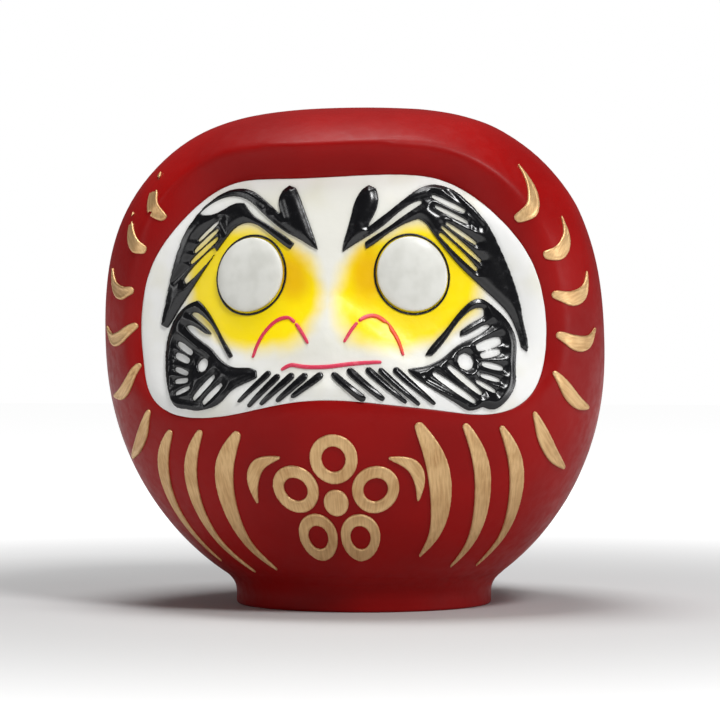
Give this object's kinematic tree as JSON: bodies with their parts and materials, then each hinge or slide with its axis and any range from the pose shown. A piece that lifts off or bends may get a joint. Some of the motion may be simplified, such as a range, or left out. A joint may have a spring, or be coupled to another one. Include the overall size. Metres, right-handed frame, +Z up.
{
  "type": "daruma doll",
  "caption": "Round hollow wish doll with a bearded face in a deep recess, blank white eyes, gold relief stripes and a small round foot, free-standing.",
  "frame": {"origin": "centre of the foot's flat underside, on the surface the doll stands on", "axes": "+Z up, the doll faces -Y, +X to the right of a viewer who faces the doll"},
  "size_m": [0.1508, 0.1415, 0.1506],
  "materials": {
    "red_lacquer": "satin red lacquer over moulded paper pulp",
    "clay": "raw dried clay",
    "face_white": "semi-gloss white shell-lime coat, airbrushed yellow round the eyes",
    "eye_white": "smooth satin white, unpainted pupils",
    "black_gloss": "thick glossy black relief paint",
    "crimson": "thin crimson line paint",
    "gold": "brushed metallic gold relief paint"
  },
  "bodies": {
    "root": {"body_shell": "red_lacquer", "foot_cup": "red_lacquer", "clay_weight": "clay", "face_coat": "face_white", "eyebrow_left": "black_gloss", "cheek_left": "black_gloss", "eye_left": "eye_white", "eye_line_left": "black_gloss", "nostril_line_left": "crimson", "beard_hair_left_1": "black_gloss", "beard_hair_left_2": "black_gloss", "beard_hair_left_3": "black_gloss", "beard_hair_left_4": "black_gloss", "beard_hair_left_5": "black_gloss", "gold_stripe_left_1": "gold", "gold_stripe_left_2": "gold", "gold_stripe_left_3": "gold", "gold_stripe_left_4": "gold", "gold_stripe_left_5": "gold", "gold_stripe_left_6": "gold", "gold_stripe_left_7": "gold", "gold_stripe_left_8": "gold", "gold_stripe_left_9": "gold", "belly_leaf_left": "gold", "eyebrow_right": "black_gloss", "cheek_right": "black_gloss", "eye_right": "eye_white", "eye_line_right": "black_gloss", "nostril_line_right": "crimson", "beard_hair_right_1": "black_gloss", "beard_hair_right_2": "black_gloss", "beard_hair_right_3": "black_gloss", "beard_hair_right_4": "black_gloss", "beard_hair_right_5": "black_gloss", "gold_stripe_right_1": "gold", "gold_stripe_right_2": "gold", "gold_stripe_right_3": "gold", "gold_stripe_right_4": "gold", "gold_stripe_right_5": "gold", "gold_stripe_right_6": "gold", "gold_stripe_right_7": "gold", "gold_stripe_right_8": "gold", "gold_stripe_right_9": "gold", "belly_leaf_right": "gold", "mouth_line": "crimson", "belly_petal_1": "gold", "belly_petal_2": "gold", "belly_petal_3": "gold", "belly_petal_4": "gold", "belly_petal_5": "gold", "belly_heart": "gold"}
  },
  "joints": []
}
